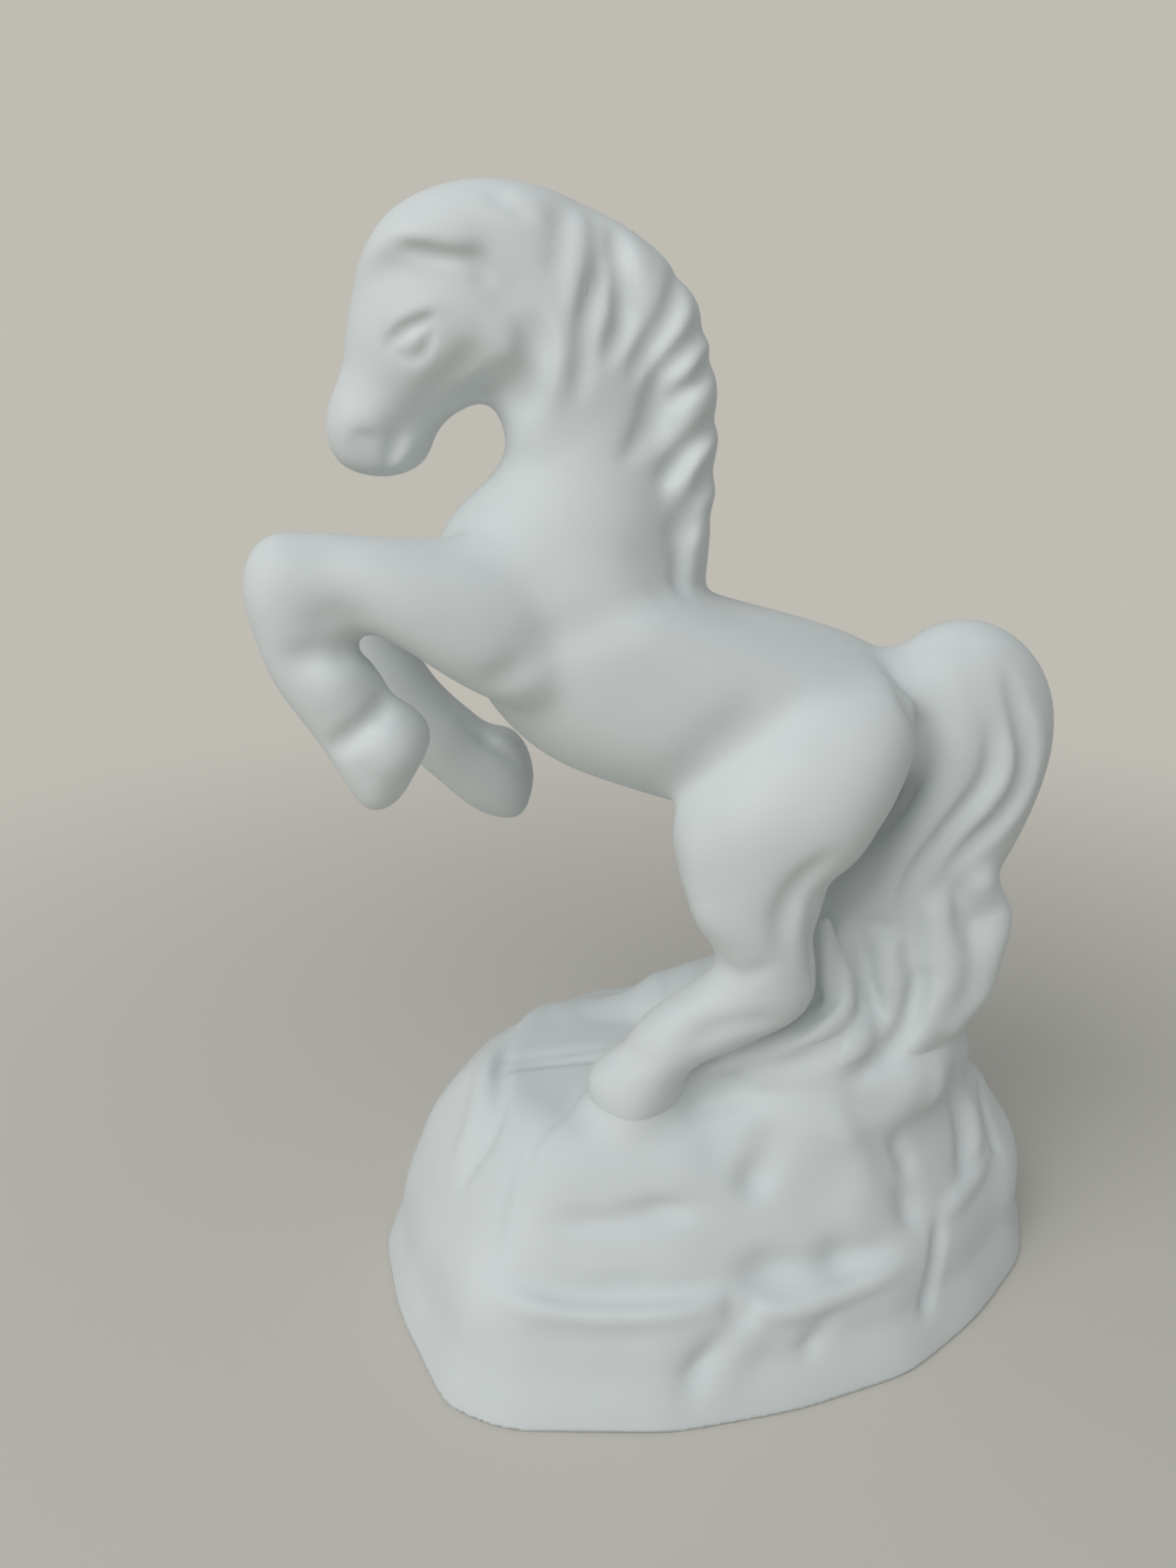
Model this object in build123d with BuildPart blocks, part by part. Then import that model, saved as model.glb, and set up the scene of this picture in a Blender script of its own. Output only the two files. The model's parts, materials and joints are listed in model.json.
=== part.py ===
from build123d import *
from math import radians, sin
import os

os.makedirs("parts", exist_ok=True)

# Rearing horse figurine on a rock base, slip-cast in white bisque porcelain.
# The castings are joined with slip at flat faces and fired together.
# Origin: the middle of the rock's underside, where the figurine stands. +Z is up.
# The horse faces -X, its left side looks towards -Y, and its tail is at +X.

# Rock base
rock_length = 95.5
rock_width = 74.0
rock_height = 30.0
band_height = 13.0
mound_height = 4.0
vent_diameter = 3.5
vent_offset = 18.0

# Horse, from its hooves to the top of its mane and from its knee to its tail
horse_height = 110.0
horse_length = 97.0
leg_spread = 26.0
trunk_width = 29.0
head_width = 18.0
forelock_width = 19.5
mane_width = 13.0
tail_width = 14.0
foreleg_width = 15.0
hind_leg_width = 18.6

# Castings
casting_wall = 3.0
drain_diameter = 5.0

mound_top = rock_height + mound_height

# How many ribs lie before the rib at which two castings are joined, from each form's root
head_rib_count = 2
shoulder_rib_count = 4
stifle_rib_count = 5
dock_rib_count = 3


# Ribs: each is a line across the form in the side view, from its front or outer end
# to its rear or inner end. The first four values are the ends as shares of the horse's
# length (x) and height (z). The fifth is the share of the form's width, and the sixth,
# on a leg, how far out it stands as a share of half the spread.

trunk_rib_shares = [
    (-0.345, 0.827, -0.216, 0.977, 0.46),
    (-0.318, 0.800, -0.180, 0.932, 0.50),
    (-0.299, 0.778, -0.134, 0.882, 0.53),
    (-0.292, 0.753, -0.101, 0.814, 0.56),
    (-0.302, 0.729, -0.089, 0.736, 0.61),
    (-0.336, 0.700, -0.080, 0.668, 0.71),
    (-0.376, 0.658, -0.064, 0.607, 0.85),
    (-0.384, 0.600, -0.015, 0.582, 0.94),
    (-0.361, 0.532, 0.041, 0.571, 0.98),
    (-0.314, 0.459, 0.093, 0.558, 1.00),
    (-0.247, 0.405, 0.139, 0.544, 0.99),
    (-0.165, 0.375, 0.175, 0.529, 0.95),
    (-0.093, 0.356, 0.201, 0.505, 0.90),
    (-0.031, 0.350, 0.214, 0.464, 0.80),
    (0.031, 0.355, 0.211, 0.418, 0.55),
    (0.082, 0.368, 0.191, 0.391, 0.26),
]

face_rib_shares = [
    (-0.309, 0.988, -0.227, 0.923, 0.55),
    (-0.362, 0.975, -0.235, 0.891, 0.88),
    (-0.410, 0.955, -0.245, 0.856, 0.98),
    (-0.449, 0.927, -0.266, 0.824, 1.00),
    (-0.466, 0.898, -0.304, 0.803, 0.95),
    (-0.477, 0.859, -0.345, 0.789, 0.84),
    (-0.485, 0.823, -0.374, 0.771, 0.73),
    (-0.501, 0.795, -0.390, 0.750, 0.71),
    (-0.508, 0.768, -0.402, 0.733, 0.66),
    (-0.502, 0.742, -0.423, 0.722, 0.52),
    (-0.487, 0.728, -0.447, 0.719, 0.26),
]

forelock_rib_shares = [
    (-0.180, 0.975, -0.180, 0.880, 0.60),
    (-0.227, 0.989, -0.215, 0.872, 0.72),
    (-0.278, 1.000, -0.262, 0.875, 0.88),
    (-0.330, 1.000, -0.315, 0.885, 0.98),
    (-0.378, 0.988, -0.362, 0.904, 1.00),
    (-0.418, 0.967, -0.400, 0.914, 0.92),
    (-0.443, 0.940, -0.425, 0.911, 0.74),
    (-0.463, 0.916, -0.446, 0.906, 0.42),
]

mane_rib_shares = [
    (-0.330, 0.995, -0.300, 0.930, 0.50),
    (-0.289, 1.000, -0.253, 0.923, 0.74),
    (-0.227, 0.987, -0.196, 0.895, 0.86),
    (-0.163, 0.964, -0.152, 0.862, 0.92),
    (-0.109, 0.931, -0.128, 0.822, 0.95),
    (-0.071, 0.887, -0.114, 0.777, 0.96),
    (-0.052, 0.832, -0.109, 0.728, 0.97),
    (-0.044, 0.773, -0.108, 0.678, 1.00),
    (-0.045, 0.714, -0.098, 0.643, 0.98),
    (-0.049, 0.655, -0.084, 0.613, 0.80),
    (-0.051, 0.609, -0.072, 0.596, 0.45),
]

left_foreleg_rib_shares = [
    (-0.268, 0.645, -0.196, 0.491, 0.66, 0.62),
    (-0.330, 0.664, -0.278, 0.486, 0.97, 0.71),
    (-0.387, 0.667, -0.345, 0.516, 0.93, 0.83),
    (-0.443, 0.669, -0.402, 0.555, 0.80, 0.94),
    (-0.500, 0.675, -0.443, 0.576, 0.71, 1.00),
    (-0.544, 0.676, -0.463, 0.573, 0.68, 1.00),
    (-0.576, 0.659, -0.467, 0.564, 0.68, 1.00),
    (-0.589, 0.623, -0.466, 0.556, 0.68, 1.00),
    (-0.582, 0.577, -0.460, 0.545, 0.65, 1.00),
    (-0.567, 0.531, -0.443, 0.527, 0.63, 1.00),
    (-0.542, 0.493, -0.423, 0.504, 0.63, 1.00),
    (-0.518, 0.462, -0.398, 0.484, 0.67, 1.00),
    (-0.497, 0.430, -0.385, 0.465, 0.71, 1.00),
    (-0.479, 0.403, -0.394, 0.444, 0.69, 1.00),
    (-0.466, 0.386, -0.414, 0.412, 0.57, 1.00),
    (-0.456, 0.381, -0.431, 0.393, 0.33, 1.00),
]

right_foreleg_rib_shares = [
    (-0.258, 0.623, -0.186, 0.477, 0.66, 0.62),
    (-0.320, 0.630, -0.268, 0.468, 0.97, 0.71),
    (-0.381, 0.626, -0.335, 0.491, 0.93, 0.83),
    (-0.438, 0.624, -0.392, 0.518, 0.80, 0.94),
    (-0.490, 0.622, -0.433, 0.529, 0.71, 1.00),
    (-0.531, 0.615, -0.447, 0.527, 0.68, 1.00),
    (-0.557, 0.591, -0.451, 0.518, 0.68, 1.00),
    (-0.559, 0.555, -0.447, 0.507, 0.67, 1.00),
    (-0.544, 0.512, -0.439, 0.495, 0.64, 1.00),
    (-0.521, 0.471, -0.427, 0.480, 0.63, 1.00),
    (-0.490, 0.420, -0.408, 0.455, 0.63, 1.00),
    (-0.462, 0.380, -0.384, 0.436, 0.65, 1.00),
    (-0.431, 0.349, -0.361, 0.418, 0.67, 1.00),
    (-0.398, 0.322, -0.338, 0.399, 0.65, 1.00),
    (-0.365, 0.296, -0.315, 0.391, 0.69, 1.00),
    (-0.330, 0.282, -0.295, 0.384, 0.71, 1.00),
    (-0.302, 0.280, -0.281, 0.359, 0.61, 1.00),
    (-0.288, 0.291, -0.276, 0.332, 0.35, 1.00),
]

left_hind_leg_rib_shares = [
    (0.031, 0.500, 0.175, 0.514, 0.59, 0.58),
    (-0.021, 0.459, 0.206, 0.482, 0.89, 0.65),
    (-0.062, 0.414, 0.206, 0.445, 1.00, 0.74),
    (-0.084, 0.377, 0.192, 0.409, 0.99, 0.83),
    (-0.082, 0.336, 0.168, 0.366, 0.91, 0.91),
    (-0.078, 0.300, 0.130, 0.318, 0.80, 0.96),
    (-0.064, 0.264, 0.099, 0.273, 0.68, 1.00),
    (-0.045, 0.229, 0.088, 0.232, 0.58, 1.00),
    (-0.029, 0.198, 0.096, 0.191, 0.54, 1.00),
    (-0.035, 0.182, 0.095, 0.153, 0.53, 1.00),
    (-0.049, 0.169, 0.070, 0.124, 0.51, 1.00),
    (-0.074, 0.153, 0.021, 0.100, 0.48, 1.00),
    (-0.103, 0.133, -0.029, 0.080, 0.48, 1.00),
    (-0.132, 0.107, -0.068, 0.055, 0.54, 1.00),
    (-0.153, 0.078, -0.082, 0.029, 0.52, 1.00),
    (-0.175, 0.045, -0.089, 0.014, 0.56, 1.00),
    (-0.184, 0.022, -0.093, -0.002, 0.57, 1.00),
    (-0.181, 0.000, -0.099, -0.016, 0.54, 1.00),
]

right_hind_leg_rib_shares = [
    (0.031, 0.500, 0.175, 0.514, 0.59, 0.58),
    (-0.010, 0.459, 0.211, 0.482, 0.89, 0.65),
    (-0.041, 0.414, 0.216, 0.445, 1.00, 0.74),
    (-0.058, 0.377, 0.211, 0.409, 0.99, 0.83),
    (-0.052, 0.336, 0.196, 0.366, 0.91, 0.91),
    (-0.037, 0.300, 0.171, 0.318, 0.80, 0.96),
    (-0.008, 0.264, 0.155, 0.277, 0.68, 1.00),
    (0.027, 0.229, 0.161, 0.238, 0.58, 1.00),
    (0.056, 0.198, 0.179, 0.196, 0.54, 1.00),
    (0.064, 0.176, 0.186, 0.154, 0.53, 1.00),
    (0.058, 0.155, 0.165, 0.118, 0.51, 1.00),
    (0.041, 0.127, 0.128, 0.085, 0.48, 1.00),
    (0.025, 0.100, 0.093, 0.056, 0.48, 1.00),
    (0.008, 0.077, 0.064, 0.031, 0.52, 1.00),
    (-0.017, 0.056, 0.029, 0.008, 0.54, 1.00),
    (-0.045, 0.045, -0.020, -0.014, 0.57, 1.00),
    (-0.075, 0.041, -0.062, -0.018, 0.56, 1.00),
    (-0.099, 0.031, -0.095, -0.015, 0.40, 1.00),
]

tail_rib_shares = [
    (0.139, 0.532, 0.134, 0.414, 0.55),
    (0.201, 0.533, 0.180, 0.395, 0.70),
    (0.251, 0.558, 0.209, 0.380, 0.81),
    (0.304, 0.562, 0.220, 0.368, 0.90),
    (0.357, 0.539, 0.223, 0.353, 0.96),
    (0.396, 0.496, 0.206, 0.330, 0.99),
    (0.413, 0.445, 0.180, 0.301, 1.00),
    (0.412, 0.391, 0.152, 0.269, 1.00),
    (0.398, 0.336, 0.129, 0.237, 0.99),
    (0.379, 0.288, 0.108, 0.206, 0.96),
    (0.365, 0.249, 0.098, 0.176, 0.96),
    (0.378, 0.211, 0.096, 0.147, 0.99),
    (0.387, 0.173, 0.099, 0.116, 1.04),
    (0.373, 0.131, 0.101, 0.082, 1.15),
    (0.353, 0.082, 0.088, 0.045, 1.35),
    (0.328, 0.032, 0.072, 0.009, 1.50),
    (0.309, -0.027, 0.072, -0.036, 1.50),
]

# Joint faces: two points of the side view that each flat face passes through
neck_joint_shares = (-0.384, 0.657, -0.057, 0.595)
poll_joint_shares = (-0.215, 0.860, -0.215, 1.000)

# Rock: corners of its footprint, as shares of half its length (x) and half its width (y)
rock_corner_shares = [
    (-1.016, -0.08),
    (-0.932, -0.46),
    (-0.764, -0.88),
    (-0.607, -0.97),
    (-0.188, -0.98),
    (0.147, -0.89),
    (0.461, -0.74),
    (0.691, -0.50),
    (0.901, -0.19),
    (0.980, 0.14),
    (0.880, 0.62),
    (0.545, 0.92),
    (0.042, 1.04),
    (-0.461, 0.99),
    (-0.800, 0.60),
    (-0.915, 0.33),
]

# Outlines of the rock: length and width as shares of the footprint's, then how far the middle
# is moved along and out, as shares of half the length and half the width
rock_foot_shares = (1.00, 1.00, 0.00, 0.00)
mound_foot_shares = (0.45, 0.50, 0.28, 0.00)
mound_top_shares = (0.34, 0.40, 0.37, 0.00)

# Levels of the slope: height as a share of the slope's, from the band's top to the rock's top,
# then the outline at that height
slope_level_shares = [
    (0.00, 0.93, 0.87, 0.00, 0.01),
    (0.11, 0.91, 0.81, 0.00, 0.02),
    (0.44, 0.87, 0.72, 0.00, 0.03),
    (0.77, 0.79, 0.62, 0.00, 0.02),
    (1.00, 0.70, 0.51, 0.00, 0.01),
]

# Ends of the drain bore in the side view
drain_start_shares = (0.110, 0.440)
drain_end_shares = (0.285, 0.478)


def side_point(x_share, z_share, side=0):
    """A point of the side view, moved sideways off the middle plane."""
    return Vector(x_share * horse_length, side, rock_height + z_share * horse_height)


def joint_plane(joint_shares):
    """The flat joint face through two points of the side view, square to the middle plane."""
    front = side_point(*joint_shares[:2])
    rear = side_point(*joint_shares[2:])
    return Plane(origin=(front + rear) / 2, x_dir=front - rear, z_dir=(rear - front).cross(Vector(0, 1, 0)))


def oval(centre, along, across):
    """An oval section in four quarters, kept apart so that a skin over many ovals doesn't twist."""
    ends = [centre + along, centre + across, centre - along, centre - across]
    with BuildLine() as outline:
        for index in range(4):
            start = ends[index - 1]
            end = ends[index]
            middle = centre + (start + end - centre * 2) * sin(radians(45))
            Spline(start, middle, end)
    return Face(outline.wires()[0])


def cast_form(rib_shares, width, spread=0, wall=0):
    """A swelling form: an oval stands on each rib, and one smooth skin runs over them all."""
    sections = []
    for front_x, front_z, rear_x, rear_z, width_share, *out_share in rib_shares:
        side = spread / 2 * sum(out_share)
        rib_middle = (side_point(front_x, front_z, side) + side_point(rear_x, rear_z, side)) / 2
        rib_half = side_point(front_x, front_z, side) - rib_middle
        along = rib_half.normalized() * (rib_half.length - wall)
        across = Vector(0, width * width_share / 2 - wall, 0)
        sections.append(oval(rib_middle, along, across))
    with BuildPart() as form:
        loft(sections)
    return form.part


def rock_outline(outline_shares, inset=0):
    """Corners of one outline of the rock, smaller by the inset all round."""
    length_share, width_share, along_share, out_share = outline_shares
    long_radius = rock_length / 2 * length_share - inset
    cross_radius = rock_width / 2 * width_share - inset
    middle = Vector(rock_length / 2 * along_share, rock_width / 2 * out_share)
    return [middle + Vector(long_radius * x_share, cross_radius * y_share) for x_share, y_share in rock_corner_shares]


def rock_form(levels):
    """A craggy block: flat-sided skins run between outlines, each at its height."""
    with BuildPart() as form:
        for height, corners in levels:
            with BuildSketch(Plane.XY.offset(height)):
                with BuildLine():
                    Polyline(*corners, close=True)
                make_face()
        loft(ruled=True)
    return form.part


neck_joint = joint_plane(neck_joint_shares)
poll_joint = joint_plane(poll_joint_shares)

trunk_form = cast_form(trunk_rib_shares[head_rib_count:], trunk_width)
trunk_core = cast_form(trunk_rib_shares[head_rib_count + 1:-1], trunk_width, wall=casting_wall)
throat_form = cast_form(trunk_rib_shares[:head_rib_count + 1], trunk_width)
face_form = cast_form(face_rib_shares, head_width)
forelock_form = cast_form(forelock_rib_shares, forelock_width)
mane_form = cast_form(mane_rib_shares, mane_width)
left_shoulder_form = cast_form(left_foreleg_rib_shares[:shoulder_rib_count + 1], foreleg_width, -leg_spread)
right_shoulder_form = cast_form(right_foreleg_rib_shares[:shoulder_rib_count + 1], foreleg_width, leg_spread)
left_foreleg_form = cast_form(left_foreleg_rib_shares[shoulder_rib_count:], foreleg_width, -leg_spread)
right_foreleg_form = cast_form(right_foreleg_rib_shares[shoulder_rib_count:], foreleg_width, leg_spread)
left_thigh_form = cast_form(left_hind_leg_rib_shares[:stifle_rib_count + 1], hind_leg_width, -leg_spread)
right_thigh_form = cast_form(right_hind_leg_rib_shares[:stifle_rib_count + 1], hind_leg_width, leg_spread)
left_hind_form = cast_form(left_hind_leg_rib_shares[stifle_rib_count:], hind_leg_width, -leg_spread)
right_hind_form = cast_form(right_hind_leg_rib_shares[stifle_rib_count:], hind_leg_width, leg_spread)
dock_form = cast_form(tail_rib_shares[:dock_rib_count + 1], tail_width)
tail_form = cast_form(tail_rib_shares[dock_rib_count:], tail_width)
tail_core = cast_form(tail_rib_shares[dock_rib_count:], tail_width, wall=casting_wall)

# Rock base: a hollow casting with a flat band round its foot, a slope, a flat top and a low mound
rock_levels = [(0, rock_outline(rock_foot_shares))]
core_levels = [(casting_wall, rock_outline(rock_foot_shares, casting_wall))]
for height_share, *outline_shares in slope_level_shares:
    height = band_height + (rock_height - band_height) * height_share
    rock_levels.append((height, rock_outline(outline_shares)))
    core_levels.append((height - casting_wall, rock_outline(outline_shares, casting_wall)))
mound_foot = rock_outline(mound_foot_shares)
mound_levels = [
    (rock_height - casting_wall / 2, mound_foot),
    (rock_height, mound_foot),
    (mound_top, rock_outline(mound_top_shares)),
]
with BuildPart() as rock_base:
    add(rock_form(rock_levels))
    add(rock_form(mound_levels))
    add(rock_form(core_levels), mode=Mode.SUBTRACT)
    add(tail_core, mode=Mode.SUBTRACT)
    with BuildSketch(Plane.XY):
        with Locations((vent_offset, 0)):
            Circle(vent_diameter / 2)
    extrude(amount=2 * casting_wall, mode=Mode.SUBTRACT)
rock_base.part.label = "rock_base"
export_step(rock_base.part, "parts/rock_base.step")

# Drain: a short bore that joins the hollow of the trunk to the hollow of the tail
drain_start = side_point(*drain_start_shares)
drain_end = side_point(*drain_end_shares)
with BuildPart() as drain_form:
    with BuildSketch(Plane(drain_start, z_dir=drain_end - drain_start)):
        Circle(drain_diameter / 2)
    extrude(amount=(drain_end - drain_start).length)

# Torso: chest, barrel and rump, hollow, with the roots of the legs and the dock of the tail
with BuildPart() as torso:
    add(trunk_form)
    add(left_shoulder_form)
    add(right_shoulder_form)
    add(left_thigh_form)
    add(right_thigh_form)
    split(bisect_by=neck_joint, keep=Keep.BOTTOM)
    add(dock_form)
    add(trunk_core, mode=Mode.SUBTRACT)
    add(drain_form.part, mode=Mode.SUBTRACT)
torso.part.label = "torso"
export_step(torso.part, "parts/torso.step")

# Neck: hollow where it meets the torso, closed towards the head, with the tops of the shoulders
with BuildPart() as neck:
    add(trunk_form)
    add(left_shoulder_form)
    add(right_shoulder_form)
    split(bisect_by=neck_joint, keep=Keep.TOP)
    add(trunk_core, mode=Mode.SUBTRACT)
neck.part.label = "neck"
export_step(neck.part, "parts/neck.step")

# Head: the face, the throat and the poll
with BuildPart() as head:
    add(throat_form)
    add(face_form)
head.part.label = "head"
export_step(head.part, "parts/head.step")

# Forelock: one wide lock swept forward over the forehead from the poll
with BuildPart() as forelock:
    add(forelock_form)
    split(bisect_by=poll_joint, keep=Keep.TOP)
    add(head.part, mode=Mode.SUBTRACT)
forelock.part.label = "forelock"
export_step(forelock.part, "parts/forelock.step")

# Mane: a crest along the neck from the poll to the withers
with BuildPart() as mane:
    add(mane_form)
    split(bisect_by=poll_joint, keep=Keep.BOTTOM)
    split(bisect_by=neck_joint, keep=Keep.TOP)
    add(head.part, mode=Mode.SUBTRACT)
    add(neck.part, mode=Mode.SUBTRACT)
mane.part.label = "mane"
export_step(mane.part, "parts/mane.step")

# Forelegs: each from its shoulder joint to its hoof, raised clear of the rock
with BuildPart() as left_foreleg:
    add(left_foreleg_form)
left_foreleg.part.label = "left_foreleg"
export_step(left_foreleg.part, "parts/left_foreleg.step")

with BuildPart() as right_foreleg:
    add(right_foreleg_form)
right_foreleg.part.label = "right_foreleg"
export_step(right_foreleg.part, "parts/right_foreleg.step")

# Hind legs: each from the stifle joint to its hoof on the rock's top. The right heel meets the mound.
rock_top = Plane.XY.offset(rock_height)
with BuildPart() as left_hind_leg:
    add(left_hind_form)
    split(bisect_by=rock_top, keep=Keep.TOP)
left_hind_leg.part.label = "left_hind_leg"
export_step(left_hind_leg.part, "parts/left_hind_leg.step")

with BuildPart() as right_hind_leg:
    add(right_hind_form)
    split(bisect_by=rock_top, keep=Keep.TOP)
    add(rock_base.part, mode=Mode.SUBTRACT)
right_hind_leg.part.label = "right_hind_leg"
export_step(right_hind_leg.part, "parts/right_hind_leg.step")

# Tail: hollow, from the dock to its foot on the rock's mound
with BuildPart() as tail:
    add(tail_form)
    split(bisect_by=Plane.XY.offset(mound_top), keep=Keep.TOP)
    add(tail_core, mode=Mode.SUBTRACT)
tail.part.label = "tail"
export_step(tail.part, "parts/tail.step")
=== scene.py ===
import json
from math import cos, pi, radians, sin

import bmesh
import bpy
import numpy as np
import openvdb as vdb
from mathutils import Matrix, Vector
from mathutils.bvhtree import BVHTree

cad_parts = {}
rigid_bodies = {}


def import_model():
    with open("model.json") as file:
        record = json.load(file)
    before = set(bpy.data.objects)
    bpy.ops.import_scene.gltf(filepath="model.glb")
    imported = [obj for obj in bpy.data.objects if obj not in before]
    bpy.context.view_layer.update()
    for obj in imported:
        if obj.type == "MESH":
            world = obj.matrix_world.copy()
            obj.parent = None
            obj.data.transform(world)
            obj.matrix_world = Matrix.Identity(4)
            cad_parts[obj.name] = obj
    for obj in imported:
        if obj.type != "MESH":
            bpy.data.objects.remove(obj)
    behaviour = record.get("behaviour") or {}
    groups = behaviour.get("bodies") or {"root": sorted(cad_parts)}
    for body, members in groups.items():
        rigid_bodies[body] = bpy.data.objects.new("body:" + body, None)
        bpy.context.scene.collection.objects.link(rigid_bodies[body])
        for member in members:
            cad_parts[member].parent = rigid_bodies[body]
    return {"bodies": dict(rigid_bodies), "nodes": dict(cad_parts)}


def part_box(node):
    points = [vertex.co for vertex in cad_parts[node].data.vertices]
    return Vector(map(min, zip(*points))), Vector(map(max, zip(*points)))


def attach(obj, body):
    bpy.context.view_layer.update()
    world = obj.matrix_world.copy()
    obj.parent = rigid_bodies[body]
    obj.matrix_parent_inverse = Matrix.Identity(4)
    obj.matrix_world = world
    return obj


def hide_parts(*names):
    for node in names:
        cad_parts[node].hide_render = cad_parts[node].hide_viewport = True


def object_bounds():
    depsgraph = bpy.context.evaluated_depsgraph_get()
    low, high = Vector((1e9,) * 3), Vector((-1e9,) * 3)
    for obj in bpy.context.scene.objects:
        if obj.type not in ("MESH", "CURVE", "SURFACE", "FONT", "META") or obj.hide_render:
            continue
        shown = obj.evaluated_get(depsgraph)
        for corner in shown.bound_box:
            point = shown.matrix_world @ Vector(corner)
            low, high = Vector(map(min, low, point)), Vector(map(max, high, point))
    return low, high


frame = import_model()
for thing in list(bpy.data.objects):
    if thing not in [*frame["nodes"].values(), *frame["bodies"].values()]:
        bpy.data.objects.remove(thing)
cad_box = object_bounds()

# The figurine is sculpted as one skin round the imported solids, then cut into its castings.
# Inside this script the sculpting is in millimetres; meshes are made in metres.
metre_per_mm = 0.001
voxel = 0.4
# distance fields reach this far to each side of their surface
band = 5.2
# a soft form with a given width has faded away at this many widths
fade_reach = 2.4

# Camera, as the photograph was taken: 1200 x 1600 pixels, looking 20 degrees down along +Y
photo_width = 1200
photo_height = 1600
photo_focal = 1200.0
camera_pitch = radians(20)
camera_place = np.array([-19.0, -142.9, 122.3])
sensor_side = 36.0

horse_nodes = [
    "torso", "neck", "head", "forelock", "mane", "tail",
    "left_foreleg", "right_foreleg", "left_hind_leg", "right_hind_leg",
]
hair_nodes = ["forelock", "mane"]


def camera_ray(pixel):
    """The direction in which the camera sees a pixel of the photograph."""
    right = np.array([1.0, 0.0, 0.0])
    forward = np.array([0.0, cos(camera_pitch), -sin(camera_pitch)])
    up = np.array([0.0, sin(camera_pitch), cos(camera_pitch)])
    across = (pixel[0] - photo_width / 2) * right
    down = (pixel[1] - photo_height / 2) * up
    ray = photo_focal * forward + across - down
    return ray / np.linalg.norm(ray)


# Fields: distance to a surface on a lattice, negative inside, cut off at the band
class Field:
    def __init__(self, low, high):
        self.low = np.floor(np.array(low) / voxel).astype(int)
        self.shape = np.ceil(np.array(high) / voxel).astype(int) - self.low + 1
        self.values = np.full(self.shape, band, np.float32)

    def window(self, low, high):
        """Slices of the lattice that lie in a box, and the places of its points."""
        first = np.floor(np.array(low) / voxel).astype(int) - self.low
        last = np.ceil(np.array(high) / voxel).astype(int) - self.low + 1
        first = np.clip(first, 0, self.shape - 1)
        last = np.clip(last, 1, self.shape)
        slices = tuple(slice(a, b) for a, b in zip(first, last))
        axes = [
            (np.arange(a, b) + c).astype(np.float32) * voxel
            for a, b, c in zip(first, last, self.low)
        ]
        return slices, np.meshgrid(*axes, indexing="ij", sparse=True)

    def sample(self, places):
        """The field's value at each place, read between its lattice points."""
        spot = np.clip(places / voxel - self.low, 0, self.shape - 1.001)
        base = spot.astype(int)
        part = (spot - base).astype(np.float32)
        total = np.zeros(len(places), np.float32)
        for corner in np.ndindex(2, 2, 2):
            weight = np.prod(np.where(corner, part, 1 - part), axis=1)
            total += weight * self.values[tuple((base + corner).T)]
        return total

    def slope(self, places):
        """The outward direction of the surface near each place."""
        rows = []
        for axis in np.eye(3):
            ahead = self.sample(places + axis * voxel)
            behind = self.sample(places - axis * voxel)
            rows.append(ahead - behind)
        normal = np.stack(rows, 1) / (2 * voxel)
        length = np.linalg.norm(normal, axis=1, keepdims=True)
        return normal / np.maximum(length, 1e-6)

    def settle(self, places):
        """The places moved onto the surface, in two steps that don't overshoot."""
        for _ in range(2):
            distance = self.sample(places)[:, None]
            places = places - self.slope(places) * distance * 0.8
        return places

    def add_mesh(self, places, faces):
        """Joins a closed mesh to the field."""
        grid = mesh_grid(places, faces)
        other = np.full(self.shape, band, np.float32)
        grid.copyToArray(other, ijk=tuple(int(v) for v in self.low))
        self.join(tuple(slice(0, n) for n in self.shape), other, 0)

    def join(self, slices, other, blend):
        """Joins another form, softly where the two meet within the blend."""
        here = self.values[slices]
        if blend > 0:
            near = np.maximum(blend - np.abs(here - other), 0) / blend
            self.values[slices] = np.minimum(here, other) - near * near * blend / 4
        else:
            self.values[slices] = np.minimum(here, other)

    def soften(self, reach):
        """Rounds creases and edges with a bell-shaped blur, cut off at two and a half times its reach."""
        count = int(np.ceil(2.5 * reach / voxel))
        steps = np.arange(-count, count + 1) * voxel
        weights = np.exp(-0.5 * (steps / reach) ** 2)
        weights /= weights.sum()
        for axis in range(3):
            total = np.zeros_like(self.values)
            padding = [(count, count) if a == axis else (0, 0) for a in range(3)]
            padded = np.pad(self.values, padding, mode="edge")
            for index, weight in enumerate(weights):
                part = [slice(None)] * 3
                part[axis] = slice(index, index + self.shape[axis])
                total += weight.astype(np.float32) * padded[tuple(part)]
            self.values = total

    def mesh(self):
        """The surface as places and triangles."""
        grid = vdb.FloatGrid(background=band)
        grid.copyFromArray(self.values, ijk=tuple(int(v) for v in self.low))
        grid.transform = vdb.createLinearTransform(voxelSize=voxel)
        places, quads = grid.convertToQuads(isovalue=0.0)
        triangles = np.concatenate([quads[:, [0, 1, 2]], quads[:, [0, 2, 3]]]).astype(int)
        return places.astype(float), triangles


def mesh_grid(places, faces):
    """A level set round a closed mesh."""
    transform = vdb.createLinearTransform(voxelSize=voxel)
    return vdb.FloatGrid.createLevelSetFromPolygons(
        np.ascontiguousarray(places, dtype=np.float32),
        triangles=np.ascontiguousarray(faces, dtype=np.uint32),
        transform=transform,
        halfWidth=band / voxel,
    )


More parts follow.
